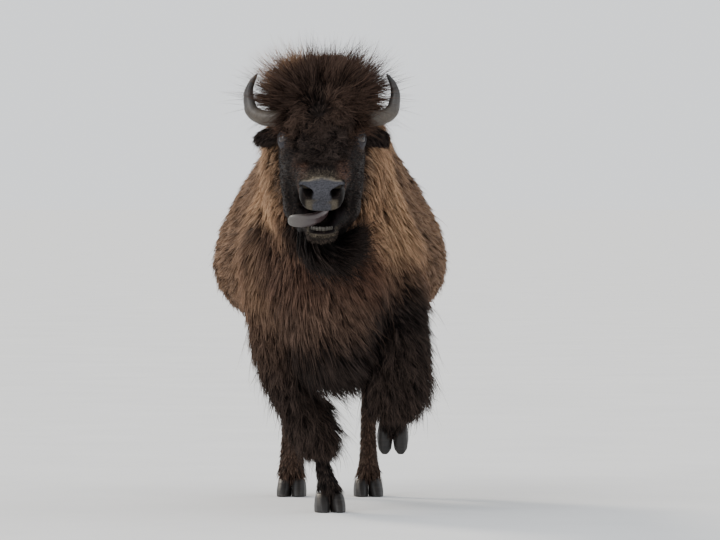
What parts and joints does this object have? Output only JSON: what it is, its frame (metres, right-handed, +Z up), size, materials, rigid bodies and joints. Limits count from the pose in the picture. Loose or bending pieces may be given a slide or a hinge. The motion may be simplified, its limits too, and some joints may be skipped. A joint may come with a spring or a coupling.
{
  "type": "bison",
  "caption": "Life-size plains bison cow in winter coat, cantering with head up, mouth open and tongue out; one fore foot is lifted and it stands on the other three.",
  "frame": {"origin": "middle of the floor rectangle under the animal's box, on the floor", "axes": "+Z up; the animal faces -Y; its own left side is towards +X"},
  "size_m": [0.82, 2.2774, 1.537],
  "materials": {
    "cape_coat": "long ochre-brown hair",
    "body_coat": "dense brown winter hair",
    "dark_coat": "dark brown to black hair",
    "crown_hair": "dark, rust-tinged curly hair",
    "nose_skin": "moist slate-grey bare skin",
    "tongue_skin": "wet grey-mauve tongue",
    "tooth": "glossy enamel",
    "eye": "wet, very dark brown",
    "horn": "ridged horn, dark tip",
    "hoof": "dull black horn"
  },
  "bodies": {
    "root": {"shoulders": "cape_coat", "barrel": "body_coat", "rump": "body_coat", "foreleg_right_upper": "dark_coat", "foreleg_left_upper": "dark_coat", "hind_leg_right_upper": "dark_coat", "hind_leg_left_upper": "dark_coat", "neck": "cape_coat", "head": "dark_coat", "nose_pad": "nose_skin", "lower_jaw": "dark_coat", "lower_teeth": "tooth", "tongue": "tongue_skin", "crown": "crown_hair", "beard": "dark_coat", "horn_right": "horn", "ear_right": "dark_coat", "eye_right": "eye", "horn_left": "horn", "ear_left": "dark_coat", "eye_left": "eye", "foreleg_right_lower": "dark_coat", "foreleg_right_right_claw": "hoof", "foreleg_right_right_dewclaw": "hoof", "foreleg_right_left_claw": "hoof", "foreleg_right_left_dewclaw": "hoof", "foreleg_left_lower": "dark_coat", "foreleg_left_right_claw": "hoof", "foreleg_left_right_dewclaw": "hoof", "foreleg_left_left_claw": "hoof", "foreleg_left_left_dewclaw": "hoof", "hind_leg_right_lower": "dark_coat", "hind_leg_right_right_claw": "hoof", "hind_leg_right_right_dewclaw": "hoof", "hind_leg_right_left_claw": "hoof", "hind_leg_right_left_dewclaw": "hoof", "hind_leg_left_lower": "dark_coat", "hind_leg_left_right_claw": "hoof", "hind_leg_left_right_dewclaw": "hoof", "hind_leg_left_left_claw": "hoof", "hind_leg_left_left_dewclaw": "hoof", "tail": "body_coat", "tail_tuft": "dark_coat"}
  },
  "joints": []
}
